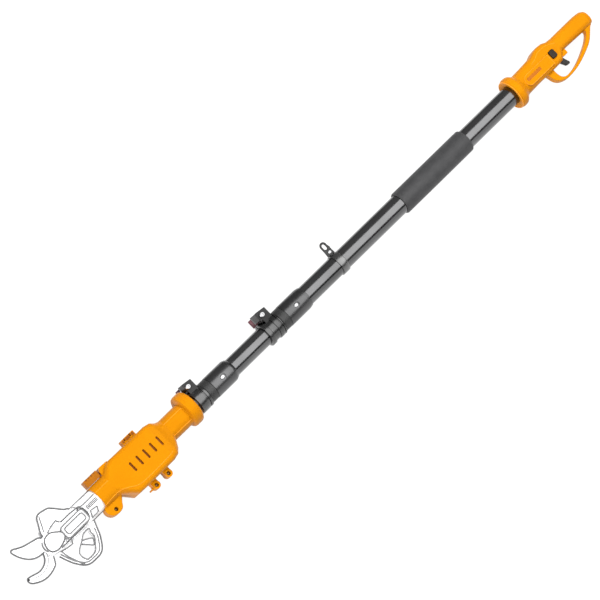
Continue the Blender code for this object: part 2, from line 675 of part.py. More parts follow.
finish(
    "pivot_bolt",
    turned([
        (-7.0, 6.0), (-4.5, 6.6), (-4.5, 4.0), (3.6, 4.0), (3.6, 6.6), (6.4, 6.0),
    ], "Z", BLADE_PIVOT, 24),
)
motor = turned([(128.0, 6.0), (128.0, 10.4), (168.0, 10.4), (171.0, 9.0), (171.0, 5.0), (177.0, 5.0)], n=20)
finish("drive_motor", motor)
finish("battery_cell_pack", turned([(-20.0, 13.0), (-18.0, 15.6), (118.0, 15.6), (120.0, 13.0)], n=20))
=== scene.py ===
import math

import bmesh
import bpy
from mathutils import Matrix, Vector
from mathutils.bvhtree import BVHTree


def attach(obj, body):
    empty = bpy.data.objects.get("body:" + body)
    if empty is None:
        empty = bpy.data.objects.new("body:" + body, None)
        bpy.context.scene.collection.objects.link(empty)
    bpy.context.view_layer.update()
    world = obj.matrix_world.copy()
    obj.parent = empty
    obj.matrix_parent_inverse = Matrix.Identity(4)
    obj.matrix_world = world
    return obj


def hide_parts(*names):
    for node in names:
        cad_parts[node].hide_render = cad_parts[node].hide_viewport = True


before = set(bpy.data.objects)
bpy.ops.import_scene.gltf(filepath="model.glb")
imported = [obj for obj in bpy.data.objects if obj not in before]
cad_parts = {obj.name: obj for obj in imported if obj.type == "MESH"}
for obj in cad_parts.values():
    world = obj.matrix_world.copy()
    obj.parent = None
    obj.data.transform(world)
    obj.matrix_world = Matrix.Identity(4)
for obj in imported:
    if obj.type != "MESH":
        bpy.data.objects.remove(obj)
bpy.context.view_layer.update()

# Sizes in this file are millimetres from the pole's centreline; finish_piece() turns them
# into metres and lifts them to the centreline's height above the floor. Materials, lights
# and the camera are in metres.
AXIS_HEIGHT = 33.0
MM = 0.001
GAP = 0.3
RUN = 0.06
WALL = 2.4
OUTER_R, MIDDLE_R, INNER_R = 17.9, 16.8, 15.7
TUBE_WALL, INNER_TUBE_WALL = 0.8, 1.0
OUTER_X = (-1003.0, -337.0)
MIDDLE_X = (-900.0, -157.5)
INNER_X = (-750.0, -50.0)
TRIGGER_PIVOT = (-1039.0, 0.0)
BLADE_PIVOT = (206.0, 0.0)
GUARD_PIVOT = (177.0, 29.0)
TRIGGER_HALF = 4.0
HOLDER_SCREWS = ((-13.5, 51.0), (15.0, 51.0), (93.0, 33.0))
HANDLE_SCREWS = ((-1117.0, -6.0), (-1068.0, -8.0), (-1004.5, 29.0), (-1018.0, -22.0))
BOLT_X, BOLT_Y = 12.5, -28.2
ROUND = 96
VOXEL = 0.55
SMOOTHING_STEPS = 3
BEAD_SIDES, BEAD_STEP = 8, 1.4
FAR = 200.0


# ---------- materials ----------
def new_material(name):
    mat = bpy.data.materials.new(name)
    mat.use_nodes = True
    return mat, mat.node_tree, mat.node_tree.nodes["Principled BSDF"]


def coords(tree, stretch=(1.0, 1.0, 1.0)):
    coord = tree.nodes.new("ShaderNodeTexCoord")
    mapping = tree.nodes.new("ShaderNodeMapping")
    mapping.inputs["Scale"].default_value = stretch
    tree.links.new(coord.outputs["Object"], mapping.inputs["Vector"])
    return mapping.outputs["Vector"]


def noise(tree, vector, scale, detail=3.0, rough=0.55):
    node = tree.nodes.new("ShaderNodeTexNoise")
    node.inputs["Scale"].default_value = scale
    node.inputs["Detail"].default_value = detail
    node.inputs["Roughness"].default_value = rough
    tree.links.new(vector, node.inputs["Vector"])
    return node.outputs["Fac"]


def ramp(tree, fac, low_stop, high_stop):
    """A two-colour ramp between (position, colour) stops."""
    node = tree.nodes.new("ShaderNodeValToRGB")
    for element, (position, colour) in zip(node.color_ramp.elements, (low_stop, high_stop)):
        element.position = position
        element.color = (*colour, 1.0)
    tree.links.new(fac, node.inputs["Fac"])
    return node.outputs["Color"]


def spread(tree, fac, low, high):
    node = tree.nodes.new("ShaderNodeMapRange")
    node.inputs["To Min"].default_value = low
    node.inputs["To Max"].default_value = high
    tree.links.new(fac, node.inputs["Value"])
    return node.outputs["Result"]


def bump(tree, height, strength, distance, normal=None):
    node = tree.nodes.new("ShaderNodeBump")
    node.inputs["Strength"].default_value = strength
    node.inputs["Distance"].default_value = distance
    tree.links.new(height, node.inputs["Height"])
    if normal is not None:
        tree.links.new(normal, node.inputs["Normal"])
    return node.outputs["Normal"]


def scuffed(tree, vector, colour, worn):
    """Small worn spots of another colour over a coating."""
    mask = ramp(tree, noise(tree, vector, 160.0, 6.0, 0.7), (0.66, (0.0,) * 3), (0.78, (1.0,) * 3))
    mix = tree.nodes.new("ShaderNodeMix")
    mix.data_type = "RGBA"
    tree.links.new(mask, mix.inputs["Factor"])
    tree.links.new(colour, mix.inputs["A"])
    mix.inputs["B"].default_value = (*worn, 1.0)
    return mix.outputs["Result"]


def surface(
    name, dark, light, rough=(0.3, 0.4), metallic=0.0, grain=1400.0, grain_depth=0.00004,
    grain_strength=0.25, stretch=(1.0, 1.0, 1.0), specular=0.5, worn=None, tint=None,
):
    """A moulded, coated or ground surface: patchy colour, uneven gloss, fine grain and scuffs."""
    mat, tree, shader = new_material(name)
    plain = coords(tree)
    colour = ramp(tree, noise(tree, plain, 14.0, 4.0), (0.3, dark), (0.7, light))
    if worn:
        colour = scuffed(tree, plain, colour, worn)
    tree.links.new(colour, shader.inputs["Base Color"])
    tree.links.new(spread(tree, noise(tree, plain, 84.0, 5.0), *rough), shader.inputs["Roughness"])
    fine = noise(tree, coords(tree, stretch), grain, 2.0)
    tree.links.new(bump(tree, fine, grain_strength, grain_depth), shader.inputs["Normal"])
    shader.inputs["Metallic"].default_value = metallic
    shader.inputs["Specular IOR Level"].default_value = specular
    if tint:
        shader.inputs["Specular Tint"].default_value = (*tint, 1.0)
    return mat


def foam_surface(name):
    """Closed-cell foam: small pits all over, dull and slightly dusty."""
    mat, tree, shader = new_material(name)
    vec = coords(tree)
    cells = tree.nodes.new("ShaderNodeTexVoronoi")
    cells.inputs["Scale"].default_value = 700.0
    tree.links.new(vec, cells.inputs["Vector"])
    dust = noise(tree, vec, 60.0, 6.0, 0.7)
    colour = ramp(tree, dust, (0.3, (0.022, 0.022, 0.023)), (0.75, (0.036, 0.036, 0.037)))
    tree.links.new(colour, shader.inputs["Base Color"])
    pits = bump(tree, cells.outputs["Distance"], 0.55, 0.0004)
    dents = bump(tree, noise(tree, vec, 240.0, 4.0), 0.35, 0.0006, pits)
    tree.links.new(dents, shader.inputs["Normal"])
    tree.links.new(spread(tree, dust, 0.46, 0.6), shader.inputs["Roughness"])
    shader.inputs["Sheen Weight"].default_value = 0.04
    shader.inputs["Specular IOR Level"].default_value = 0.4
    return mat


def glowing(name, grey, strength):
    """A dull staging surface of one grey with an even white glow."""
    mat, _, shader = new_material(name)
    shader.inputs["Base Color"].default_value = (grey, grey, grey, 1.0)
    shader.inputs["Roughness"].default_value = 0.9
    shader.inputs["Specular IOR Level"].default_value = 0.0
    shader.inputs["Emission Color"].default_value = (1.0, 1.0, 1.0, 1.0)
    shader.inputs["Emission Strength"].default_value = strength
    return mat


ORANGE = surface(
    "orange_plastic", (0.43, 0.149, 0.0014), (0.485, 0.171, 0.0018),
    rough=(0.34, 0.46), grain=1700.0, grain_strength=0.3, specular=0.3, tint=(1.0, 0.52, 0.02),
)
# A lighter copy of the orange plastic: painted highlight, for the bell lip and the ridge beads.
HIGHLIGHT_ORANGE = surface(
    "orange_painted_highlight", (0.6, 0.215, 0.012), (0.68, 0.25, 0.02),
    rough=(0.3, 0.4), specular=0.35, tint=(1.0, 0.6, 0.1),
)
# Dark brown for the fills behind the vents and in the slots and pockets: painted shade in the recesses.
SHADE_BROWN = surface("painted_recess_shade", (0.18, 0.05, 0.002), (0.25, 0.072, 0.003), rough=(0.5, 0.6), specular=0.15)
PLATE = surface("label_plate", (0.3, 0.085, 0.002), (0.36, 0.105, 0.003), rough=(0.5, 0.6), specular=0.2)
AMBER = surface(
    "amber_plastic", (0.2, 0.062, 0.003), (0.3, 0.095, 0.005),
    rough=(0.4, 0.5), specular=0.3, tint=(1.0, 0.6, 0.2),
)
BLACK = surface(
    "black_plastic", (0.006, 0.006, 0.006), (0.014, 0.013, 0.012),
    rough=(0.45, 0.58), grain=1500.0, specular=0.3,
)
UMBER = surface(
    "umber_plastic", (0.01, 0.006, 0.002), (0.02, 0.011, 0.004),
    rough=(0.4, 0.55), grain=1500.0, specular=0.3,
)
COLLAR = surface(
    "collar_plastic", (0.095, 0.095, 0.096), (0.13, 0.13, 0.132),
    rough=(0.27, 0.34), metallic=1.0, grain=1900.0,
)
COLLAR_RING = surface(
    "collar_ring", (0.01, 0.01, 0.01), (0.018, 0.018, 0.018),
    rough=(0.42, 0.52), specular=0.6, grain=1900.0,
)
CLAMP = surface(
    "clamp_casting", (0.09, 0.09, 0.09), (0.15, 0.15, 0.15),
    rough=(0.2, 0.32), metallic=1.0, grain=1200.0, grain_depth=0.00008, worn=(0.3, 0.3, 0.3),
)
# A darker copy of the clamp casting for the ears: painted shade; its light spots are real scuffs.
SHADED_CLAMP_EAR = surface(
    "clamp_ear_painted_shade", (0.024, 0.024, 0.024), (0.046, 0.046, 0.046),
    rough=(0.22, 0.34), metallic=1.0, grain=1200.0, grain_depth=0.00008, worn=(0.16, 0.16, 0.16),
)
LEVER = surface("lever_plastic", (0.06, 0.008, 0.016), (0.1, 0.014, 0.026), rough=(0.35, 0.45))
TUBE = surface(
    "tube_coating", (0.135, 0.135, 0.137), (0.172, 0.172, 0.175), rough=(0.15, 0.21), metallic=1.0,
    grain=900.0, grain_depth=0.00001, grain_strength=0.14, stretch=(0.05, 1.0, 1.0),
)
FOAM = foam_surface("foam")
BRACKET = surface(
    "bracket_strip", (0.16, 0.16, 0.16), (0.26, 0.26, 0.26), rough=(0.22, 0.34), metallic=1.0,
    grain=800.0, stretch=(1.0, 0.1, 0.1), worn=(0.4, 0.4, 0.4),
)
# A darker copy of the bracket steel for the tab: painted shade; its light spots are real scuffs.
SHADED_TAB_STEEL = surface(
    "bracket_tab_painted_shade", (0.03, 0.03, 0.03), (0.07, 0.07, 0.07), rough=(0.3, 0.42), metallic=1.0,
    grain=800.0, worn=(0.15, 0.15, 0.15),
)
CHROME = surface(
    "bright_plating", (0.36, 0.36, 0.365), (0.48, 0.48, 0.485), rough=(0.08, 0.16), metallic=1.0,
    grain=600.0, grain_strength=0.1,
)
DARK_STEEL = surface("dark_steel", (0.04, 0.028, 0.016), (0.08, 0.055, 0.03), rough=(0.3, 0.42), metallic=1.0)
BRONZE = surface("bronze_screw", (0.09, 0.055, 0.025), (0.17, 0.1, 0.045), rough=(0.25, 0.38), metallic=1.0)
PALE = surface(
    "pale_plastic", (0.78, 0.78, 0.785), (0.84, 0.84, 0.845),
    rough=(0.45, 0.6), specular=0.3, grain=1700.0,
)
PALE_GREY = surface(
    "pale_grey_plastic", (0.62, 0.62, 0.63), (0.7, 0.7, 0.71), rough=(0.45, 0.6), specular=0.3,
)
SEAM = surface("seam_grey", (0.08, 0.08, 0.081), (0.12, 0.12, 0.122), rough=(0.6, 0.75), specular=0.2)
FINE_SEAM = surface(
    "fine_seam_grey", (0.13, 0.13, 0.132), (0.185, 0.185, 0.187), rough=(0.6, 0.75), specular=0.2,
)
BLADE = surface(
    "ground_steel", (0.74, 0.74, 0.75), (0.82, 0.82, 0.83), rough=(0.34, 0.46), metallic=0.6,
    grain=500.0, stretch=(0.15, 1.0, 1.0),
)


# ---------- outlines ----------
def arc(cx, cy, r, start, sweep, n):
    """Points round a centre, from one angle through a sweep, both in degrees."""
    angles = [math.radians(start + sweep * i / n) for i in range(n + 1)]
    return [(cx + r * math.cos(a), cy + r * math.sin(a)) for a in angles]


def circle(cx, cy, r, n=48):
    return arc(cx, cy, r, 0, 360, n)[:-1]


def rounded_rect(x0, x1, y0, y1, r, k=6):
    return (
        arc(x1 - r, y1 - r, r, 0, 90, k)
        + arc(x0 + r, y1 - r, r, 90, 90, k)
        + arc(x0 + r, y0 + r, r, 180, 90, k)
        + arc(x1 - r, y0 + r, r, 270, 90, k)
    )


def catmull_rom(a, b, c, d, t):
    """The value a share t of the way from b to c, with a and d as the values on either side."""
    pull = (2 * a - 5 * b + 4 * c - d) * t * t + (3 * b - a - 3 * c + d) * t**3
    return 0.5 * (2 * b + (c - a) * t + pull)


def spline(points, steps, closed=False):
    """A smooth path through points of any dimension, with so many steps between neighbours."""
    out, n = [], len(points)
    for i in range(n if closed else n - 1):
        near = [i - 1, i, i + 1, i + 2]
        near = [points[j % n if closed else min(max(j, 0), n - 1)] for j in near]
        for s in range(steps):
            out.append(tuple(catmull_rom(*values, s / steps) for values in zip(*near)))
    if not closed:
        out.append(tuple(points[-1]))
    return out


def curve(points, fineness=3, closed=False):
    """A smooth outline, with two steps between neighbours for each unit of fineness."""
    return spline(points, 2 * fineness, closed)


def inset(points, distance, closed=False):
    """The path moved sideways, to its left for a positive distance."""
    n, out = len(points), []
    for i, (x, y) in enumerate(points):
        ax, ay = points[(i - 1) % n if closed else max(i - 1, 0)]
        bx, by = points[(i + 1) % n if closed else min(i + 1, n - 1)]
        run = math.hypot(bx - ax, by - ay) or 1.0
        out.append((x - distance * (by - ay) / run, y + distance * (bx - ax) / run))
    return out


def at(points, z):
    return [(x, y, z) for x, y in points]


# ---------- solids ----------
def solid(verts, faces):
    mesh = bpy.data.meshes.new("piece")
    mesh.from_pydata([tuple(v) for v in verts], [], faces)
    work = bmesh.new()
    work.from_mesh(mesh)
    bmesh.ops.remove_doubles(work, verts=work.verts, dist=1e-4)
    bmesh.ops.recalc_face_normals(work, faces=work.faces)
    work.to_mesh(mesh)
    work.free()
    obj = bpy.data.objects.new("piece", mesh)
    bpy.context.scene.collection.objects.link(obj)
    return obj


def ease_rims(obj, axis, width, segments):
    """Rounds the edges of both end faces of a piece drawn out along one axis (1 is Y, 2 is Z)."""
    work = bmesh.new()
    work.from_mesh(obj.data)
    rims = [e for e in work.edges if abs(e.verts[0].co[axis] - e.verts[1].co[axis]) < 1e-6]
    bmesh.ops.bevel(work, geom=rims, offset=width, segments=segments, profile=0.5, affect="EDGES")
    work.to_mesh(obj.data)
    work.free()


def prism(outline, z0, z1, chamfer=0.0, segments=3):
    """An (x, y) outline drawn out along Z."""
    n = len(outline)
    faces = [list(range(n))[::-1], list(range(n, 2 * n))]
    faces += [[i, (i + 1) % n, n + (i + 1) % n, n + i] for i in range(n)]
    obj = solid(at(outline, z0) + at(outline, z1), faces)
    if chamfer:
        ease_rims(obj, 2, chamfer, segments)
    return obj


def slab(profile, y0, y1, chamfer=0.0):
    """An (x, z) outline drawn out along Y."""
    n = len(profile)
    verts = [(x, y0, z) for x, z in profile] + [(x, y1, z) for x, z in profile]
    faces = [list(range(n)), list(range(n, 2 * n))[::-1]]
    faces += [[i, n + i, n + (i + 1) % n, (i + 1) % n] for i in range(n)]
    obj = solid(verts, faces)
    if chamfer:
        ease_rims(obj, 1, chamfer, 3)
    return obj


def box(x0, x1, y0, y1, z0, z1):
    return prism([(x0, y0), (x1, y0), (x1, y1), (x0, y1)], z0, z1)


def rounded_box(x0, x1, y0, y1, z0, z1, r, chamfer=0.0):
    return prism(rounded_rect(x0, x1, y0, y1, r), z0, z1, chamfer)


def turned(profile, axis="X", centre=(0.0, 0.0), n=ROUND, closed=False):
    """A (place, radius) profile turned round an axis along X or Z."""
    rows, verts, faces = len(profile), [], []
    for p, r in profile:
        for i in range(n):
            a = 2 * math.pi * (i + 0.5) / n
            u, v = centre[0] + r * math.cos(a), centre[1] + r * math.sin(a)
            verts.append((p, u, v) if axis == "X" else (u, v, p))
    for j in range(rows if closed else rows - 1):
        a, b = j * n, ((j + 1) % rows) * n
        for i in range(n):
            k = (i + 1) % n
            faces.append([a + i, a + k, b + k, b + i])
    if not closed:
        faces.append(list(range(n))[::-1])
        faces.append(list(range((rows - 1) * n, rows * n)))
    return solid(verts, faces)


def rod(p0, p1, r, axis="Z", centre=(0.0, 0.0), n=32):
    return turned([(p0, r), (p1, r)], axis, centre, n)


def loft(stations, shrink=0.0, k=10):
    """Joins rounded sections, each given as its x, lowest y, highest y, half height and corner radius."""
    verts, faces, n = [], [], 4 * (k + 1)
    for x, ylo, yhi, half, r in stations:
        ylo, yhi, half = ylo + shrink, yhi - shrink, half - shrink
        corner = min(max(r - shrink, 1.0), (yhi - ylo) / 2 - 0.01, half - 0.01)
        verts += [(x, y, z) for y, z in rounded_rect(ylo, yhi, -half, half, corner, k)]
    for j in range(len(stations) - 1):
        for i in range(n):
            m = (i + 1) % n
            faces.append([j * n + i, j * n + m, (j + 1) * n + m, (j + 1) * n + i])
    faces.append(list(range(n))[::-1])
    faces.append(list(range((len(stations) - 1) * n, len(stations) * n)))
    return solid(verts, faces)


def apply_modifiers(obj):
    bpy.context.view_layer.update()
    graph = bpy.context.evaluated_depsgraph_get()
    mesh = bpy.data.meshes.new_from_object(obj.evaluated_get(graph))
    obj.modifiers.clear()
    obj.data = mesh
    return obj


def combine(target, other, operation):
    modifier = target.modifiers.new("combine", "BOOLEAN")
    modifier.operation = operation
    modifier.solver = "EXACT"
    modifier.object = other
    apply_modifiers(target)
    bpy.data.objects.remove(other)
    return target


def join(target, other):
    return combine(target, other, "UNION")


def cut(target, other):
    return combine(target, other, "DIFFERENCE")


def half_of(obj, top):
    """A copy of the part of a piece above or below the parting line."""
    half = obj.copy()
    half.data = obj.data.copy()
    bpy.context.scene.collection.objects.link(half)
    z0, z1 = (GAP / 2, FAR) if top else (-FAR, -GAP / 2)
    return combine(half, box(-1300, 500, -FAR, FAR, z0, z1), "INTERSECT")


def moulded(obj):
    """Turns a sharp solid into one with the small soft radii of a moulding."""
    remesh = obj.modifiers.new("remesh", "REMESH")
    remesh.mode = "VOXEL"
    remesh.voxel_size = VOXEL
    soften = obj.modifiers.new("soften", "SMOOTH")
    soften.factor = 0.5
    soften.iterations = SMOOTHING_STEPS
    return apply_modifiers(obj)


# ---------- finished pieces ----------
def finish_piece(name, obj, material, body, node=None, smooth=40):
    """Moves a piece to metres, dresses it and hangs it on its body, in place of the named CAD node."""
    obj.name = obj.data.name = name
    obj.data.transform(Matrix.Scale(MM, 4) @ Matrix.Translation((0.0, 0.0, AXIS_HEIGHT)))
    obj.data.shade_smooth()
    if smooth < 180:
        obj.data.set_sharp_from_angle(angle=math.radians(smooth))
    obj.data.materials.clear()
    obj.data.materials.append(material)
    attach(obj, body)
    if node:
        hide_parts(node)


def tree_of(*objs):
    """One search tree of several meshes, for laying beads on them."""
    verts, faces = [], []
    for obj in objs:
        start = len(verts)
        verts += [v.co.copy() for v in obj.data.vertices]
        faces += [[start + i for i in p.vertices] for p in obj.data.polygons]
    return BVHTree.FromPolygons(verts, faces)


def finish_shells(whole, tag, body):
    """Parts a body into its two moulded orange shells, and returns a search tree of the upper one."""
    upper = moulded(half_of(whole, True))
    tree = tree_of(upper)
    finish_piece(f"{tag}_top", upper, ORANGE, body, f"{tag}_shell_top", 180)
    lower = moulded(half_of(whole, False))
    finish_piece(f"{tag}_bottom", lower, ORANGE, body, f"{tag}_shell_bottom", 180)
    bpy.data.objects.remove(whole)
    return tree


def resampled(points, closed):
    """The same path with a point about every bead step."""
    path = [Vector(p) for p in points] + ([Vector(points[0])] if closed else [])
    out = []
    for p, q in zip(path, path[1:]):
        count = max(1, round((q - p).length / BEAD_STEP))
        out += [p.lerp(q, i / count) for i in range(count)]
    return out if closed else out + [path[-1]]


def draped(tree, points, closed=False, lift=0.15):
    """Drops a flat (x, y) path onto the meshes below it."""
    out, z = [], 0.0
    for p in resampled(at(points, 0.0), closed):
        hit = tree.ray_cast(Vector((p.x, p.y, FAR)), Vector((0.0, 0.0, -1.0)))[0]
        z = hit.z if hit is not None else z
        out.append((p.x, p.y, z + lift))
    return out


def bead(name, points, radius, material, body, closed=False):
    """A thin round bead along a path of (x, y, z) points."""
    path = resampled(points, closed)
    n, sides = len(path), BEAD_SIDES
    verts, faces, side = [], [], Vector((0.0, 1.0, 0.0))
    for i, p in enumerate(path):
        if closed:
            run = path[(i + 1) % n] - path[i - 1]
        else:
            run = path[min(i + 1, n - 1)] - path[max(i - 1, 0)]
        run.normalize()
        across_run = run.cross(Vector((0.0, 0.0, 1.0)))
        if across_run.length > 0.05:
            side = across_run.normalized()
        rise = side.cross(run).normalized()
        for k in range(sides):
            a = 2 * math.pi * k / sides
            verts.append(p + radius * (math.cos(a) * side + math.sin(a) * rise))
    for i in range(n if closed else n - 1):
        a, b = i * sides, ((i + 1) % n) * sides
        for k in range(sides):
            m = (k + 1) % sides
            faces.append([a + k, a + m, b + m, b + k])
    if not closed:
        faces.append(list(range(sides))[::-1])
        faces.append(list(range((n - 1) * sides, n * sides)))
    finish_piece(name, solid(verts, faces), material, body, None, 60)


# Ridge beads in the lighter orange: painted highlight along the edges.
def highlight_ridge(name, points, radius, body, closed=False):
    bead(name, points, radius, HIGHLIGHT_ORANGE, body, closed)


def seam(name, points, radius=1.5, material=SEAM, body="head", closed=False):
    bead(f"seam_{name}", points, radius, material, body, closed)


def fine_seam(name, points, radius=1.25, body="head", closed=False):
    seam(name, points, radius, FINE_SEAM, body, closed)


# ---------- rear handle ----------
# grip and neck, bell mouth, finger loop and the raised panel
HANDLE = [
    (-1131.5, -12.0, 4.0, 8.0, 7.0),
    (-1129.0, -17.5, 7.0, 12.5, 10.0),
    (-1122.0, -21.5, 9.0, 15.0, 12.0),
    (-1108.0, -22.9, 8.5, 15.8, 12.0),
    (-1060.0, -22.9, 7.0, 16.0, 12.0),
    (-1048.0, -22.9, 8.0, 16.6, 12.0),
    (-1036.0, -24.0, 19.0, 17.8, 10.0),
    (-1027.0, -27.8, 19.8, 18.6, 9.5),
    (-1016.0, -28.8, 20.0, 19.2, 9.5),
    (-1005.0, -27.5, 20.0, 19.6, 9.5),
    (-995.0, -23.8, 19.8, 19.8, 10.0),
    (-975.0, -22.8, 19.6, 20.0, 12.0),
    (-950.0, -22.0, 20.6, 20.4, 17.0),
    (-938.0, -23.5, 23.5, 23.5, 22.0),
]
handle = loft(HANDLE)
BELL = [
    (-954, 19.0), (-949, 21.4), (-944, 24.6), (-940, 28.2), (-936.5, 29.7), (-931, 29.9),
    (-927.5, 28.9), (-925.6, 27.0), (-925.0, 24.5), (-925.6, 21.6), (-926.4, 20.0),
]
join(handle, turned(spline(BELL, 3)))
LOOP_OUT = [
    (-994.0, 14.0), (-997.8, 21.5), (-1001.3, 34.0), (-1009.0, 42.5), (-1022.8, 47.0),
    (-1039.8, 46.6), (-1056.8, 43.6), (-1073.8, 38.4), (-1090.7, 32.0), (-1102.5, 25.4),
    (-1112.0, 17.6), (-1119.5, 11.0), (-1126.0, 6.5), (-1126.0, -2.0),
]
LOOP_IN = [
    (-1100.0, 0.0), (-1103.6, 6.6), (-1106.6, 9.8), (-1104.6, 13.8), (-1099.0, 18.6),
    (-1090.7, 23.8), (-1079.4, 29.2), (-1068.0, 34.0), (-1056.8, 38.0), (-1045.5, 41.0),
    (-1034.0, 42.5), (-1022.8, 42.3), (-1016.0, 38.4), (-1013.0, 31.0), (-1012.4, 22.5),
    (-1012.0, 12.0),
]
join(handle, prism(curve(LOOP_OUT, 2) + curve(LOOP_IN, 2), -8.5, 8.5, 2.2, 4))
join(handle, rounded_box(-1054.5, -1040.0, 2.0, 15.6, -9.0, 9.0, 2.0, 1.0))
PANEL = [(-1017.0, -7.5)] + arc(-962.0, 3.1, 10.6, -90, 180, 20) + [(-1017.0, 13.7)]
join(handle, prism(PANEL, 10.0, 21.3, 0.6))

# the hollow inside, with posts left round the screws, and the openings
cavity = loft(HANDLE[1:10], WALL, 6)
for x, y in HANDLE_SCREWS:
    if y < 0:
        cut(cavity, rod(-30, 30, 4.6, "Z", (x, y), 24))
cut(handle, cavity)
cut(handle, rod(-1010.0, -900.0, OUTER_R + GAP, "X", n=ROUND))
cut(handle, box(-1052.5, -1028.0, 4.0, 24.0, -4.7, 4.7))
cut(handle, rounded_box(-1032.4, -1020.6, -8.6, 6.6, 8.0, 30.0, 2.4))
cut(handle, rounded_box(-992.5, -957.5, -1.6, 5.2, 20.6, 30.0, 1.6))
for x, y in HANDLE_SCREWS:
    cut(handle, rod(-30.0, -(6.0 if y > 0 else 13.0), 3.5, "Z", (x, y), 32))
handle_tree = finish_shells(handle, "handle", "pole_handle")

# lip of the bell mouth and ridges, both in the lighter orange as painted highlight, and blank plate
LIP = [(-925.8, 26.0), (-924.7, 26.3), (-924.3, 27.2), (-924.7, 28.1), (-925.8, 28.5)]
finish_piece("bell_lip_painted_highlight", turned(LIP, closed=True), HIGHLIGHT_ORANGE, "pole_handle", None)
panel_painted_highlight = draped(handle_tree, inset(PANEL, 0.9, True), True, -0.1)
highlight_ridge("panel_painted_highlight", panel_painted_highlight, 0.6, "pole_handle", closed=True)
SHOULDER = [
    (-1044.0, -12.0), (-1034.0, -17.5), (-1022.0, -20.5), (-1008.0, -20.5), (-996.0, -16.0),
    (-984.0, -13.0),
]
highlight_ridge("shoulder_highlight_ridge", draped(handle_tree, curve(SHOULDER), lift=-0.2), 0.7, "pole_handle")
plate = rounded_box(-992.2, -957.8, -1.3, 4.9, 20.2, 20.95, 1.5, 0.2)
finish_piece("handle_blank_plate", plate, PLATE, "pole_handle", None)

# trigger and lock button
TRIGGER_BACK = [
    (-1041.5, 5.0), (-1042.3, 14.0), (-1044.8, 22.0), (-1047.0, 29.0), (-1044.0, 31.0), (-1038.6, 29.6),
]
TRIGGER_FRONT = [(-1036.4, 25.0), (-1033.4, 19.0), (-1032.6, 10.0), (-1034.4, 2.0)]
trigger = prism(curve(TRIGGER_BACK) + curve(TRIGGER_FRONT), -TRIGGER_HALF, TRIGGER_HALF, 1.2)
join(trigger, prism(circle(*TRIGGER_PIVOT, 5.0, 40), -TRIGGER_HALF, TRIGGER_HALF, 0.4))
for i in range(4):
    cut(trigger, rod(-6, 6, 0.5, "Z", (-1033.6 - 0.9 * i, 18.6 + 2.6 * i), 12))
finish_piece("trigger_blade", trigger, BLACK, "trigger", "trigger")
button = rounded_box(-1032.0, -1021.0, -8.2, 6.2, 12.5, 22.2, 2.2, 0.9)
for y in (-5.0, -2.0, 1.0, 4.0):
    cut(button, box(-1029.8, -1023.2, y - 0.5, y + 0.5, 21.5, 24.0))
finish_piece("lock_button_cap", button, UMBER, "lock_button", "lock_button")

# ---------- tubes, foam, bracket ----------
for name, (x0, x1), r, wall, body in (
    ("outer", OUTER_X, OUTER_R, TUBE_WALL, "pole_handle"),
    ("middle", MIDDLE_X, MIDDLE_R, TUBE_WALL, "middle_section"),
    ("inner", INNER_X, INNER_R, INNER_TUBE_WALL, "head"),
):
    tube = turned([(x0, r - wall), (x0, r), (x1, r), (x1, r - wall)], closed=True)
    finish_piece(f"{name}_pole", tube, TUBE, body, f"{name}_tube")

FOAM_R = 21.3
foam = turned(
    [
        (-805.0, OUTER_R + GAP), (-805.0, FOAM_R - 1.8), (-804.6, FOAM_R - 0.9),
        (-803.6, FOAM_R - 0.2), (-802.0, FOAM_R), (-722.0, FOAM_R + 0.1), (-642.0, FOAM_R),
        (-640.4, FOAM_R - 0.2), (-639.4, FOAM_R - 0.9), (-639.0, FOAM_R - 1.8),
        (-639.0, OUTER_R + GAP),
    ],
    closed=True,
)
finish_piece("foam_sleeve", foam, FOAM, "pole_handle", "foam_grip")

# strap bracket
BAND_R = OUTER_R + GAP + 1.7
band = turned([
    (-492.5, OUTER_R - 1.0), (-492.5, BAND_R - 0.3), (-492.1, BAND_R),
    (-478.9, BAND_R), (-478.5, BAND_R - 0.3), (-478.5, OUTER_R - 1.0),
], closed=True)
finish_piece("strap_band", band, BRACKET, "pole_handle", "strap_bracket")
TAB = [(-494.0, -13.0), (-493.6, -30.0), (-492.0, -38.0)]
TAB += arc(-486.4, -39.0, 6.0, 180, 180, 16) + [(-480.2, -30.0), (-478.5, -13.0)]
tab = prism(TAB, -1.7, 1.7, 0.4)
cut(tab, rod(-500, -470, OUTER_R + GAP, "X", n=ROUND))
cut(tab, rounded_box(-490.2, -483.0, -42.0, -31.0, -5, 5, 3.4))
cut(tab, rod(-5, 5, 2.3, "Z", (-487.5, -24.5), 24))
# The tab takes the darker copy of the bracket steel: painted shade.
finish_piece("strap_tab", tab, SHADED_TAB_STEEL, "pole_handle", None)
bead("strap_tab_rim", at(TAB[1:-1], 1.3), 0.8, BLACK, "pole_handle", False)
EYE = rounded_rect(-490.6, -482.6, -42.4, -30.6, 3.8)
bead("strap_eye_rim", at(EYE, 1.3), 0.6, BLACK, "pole_handle", True)


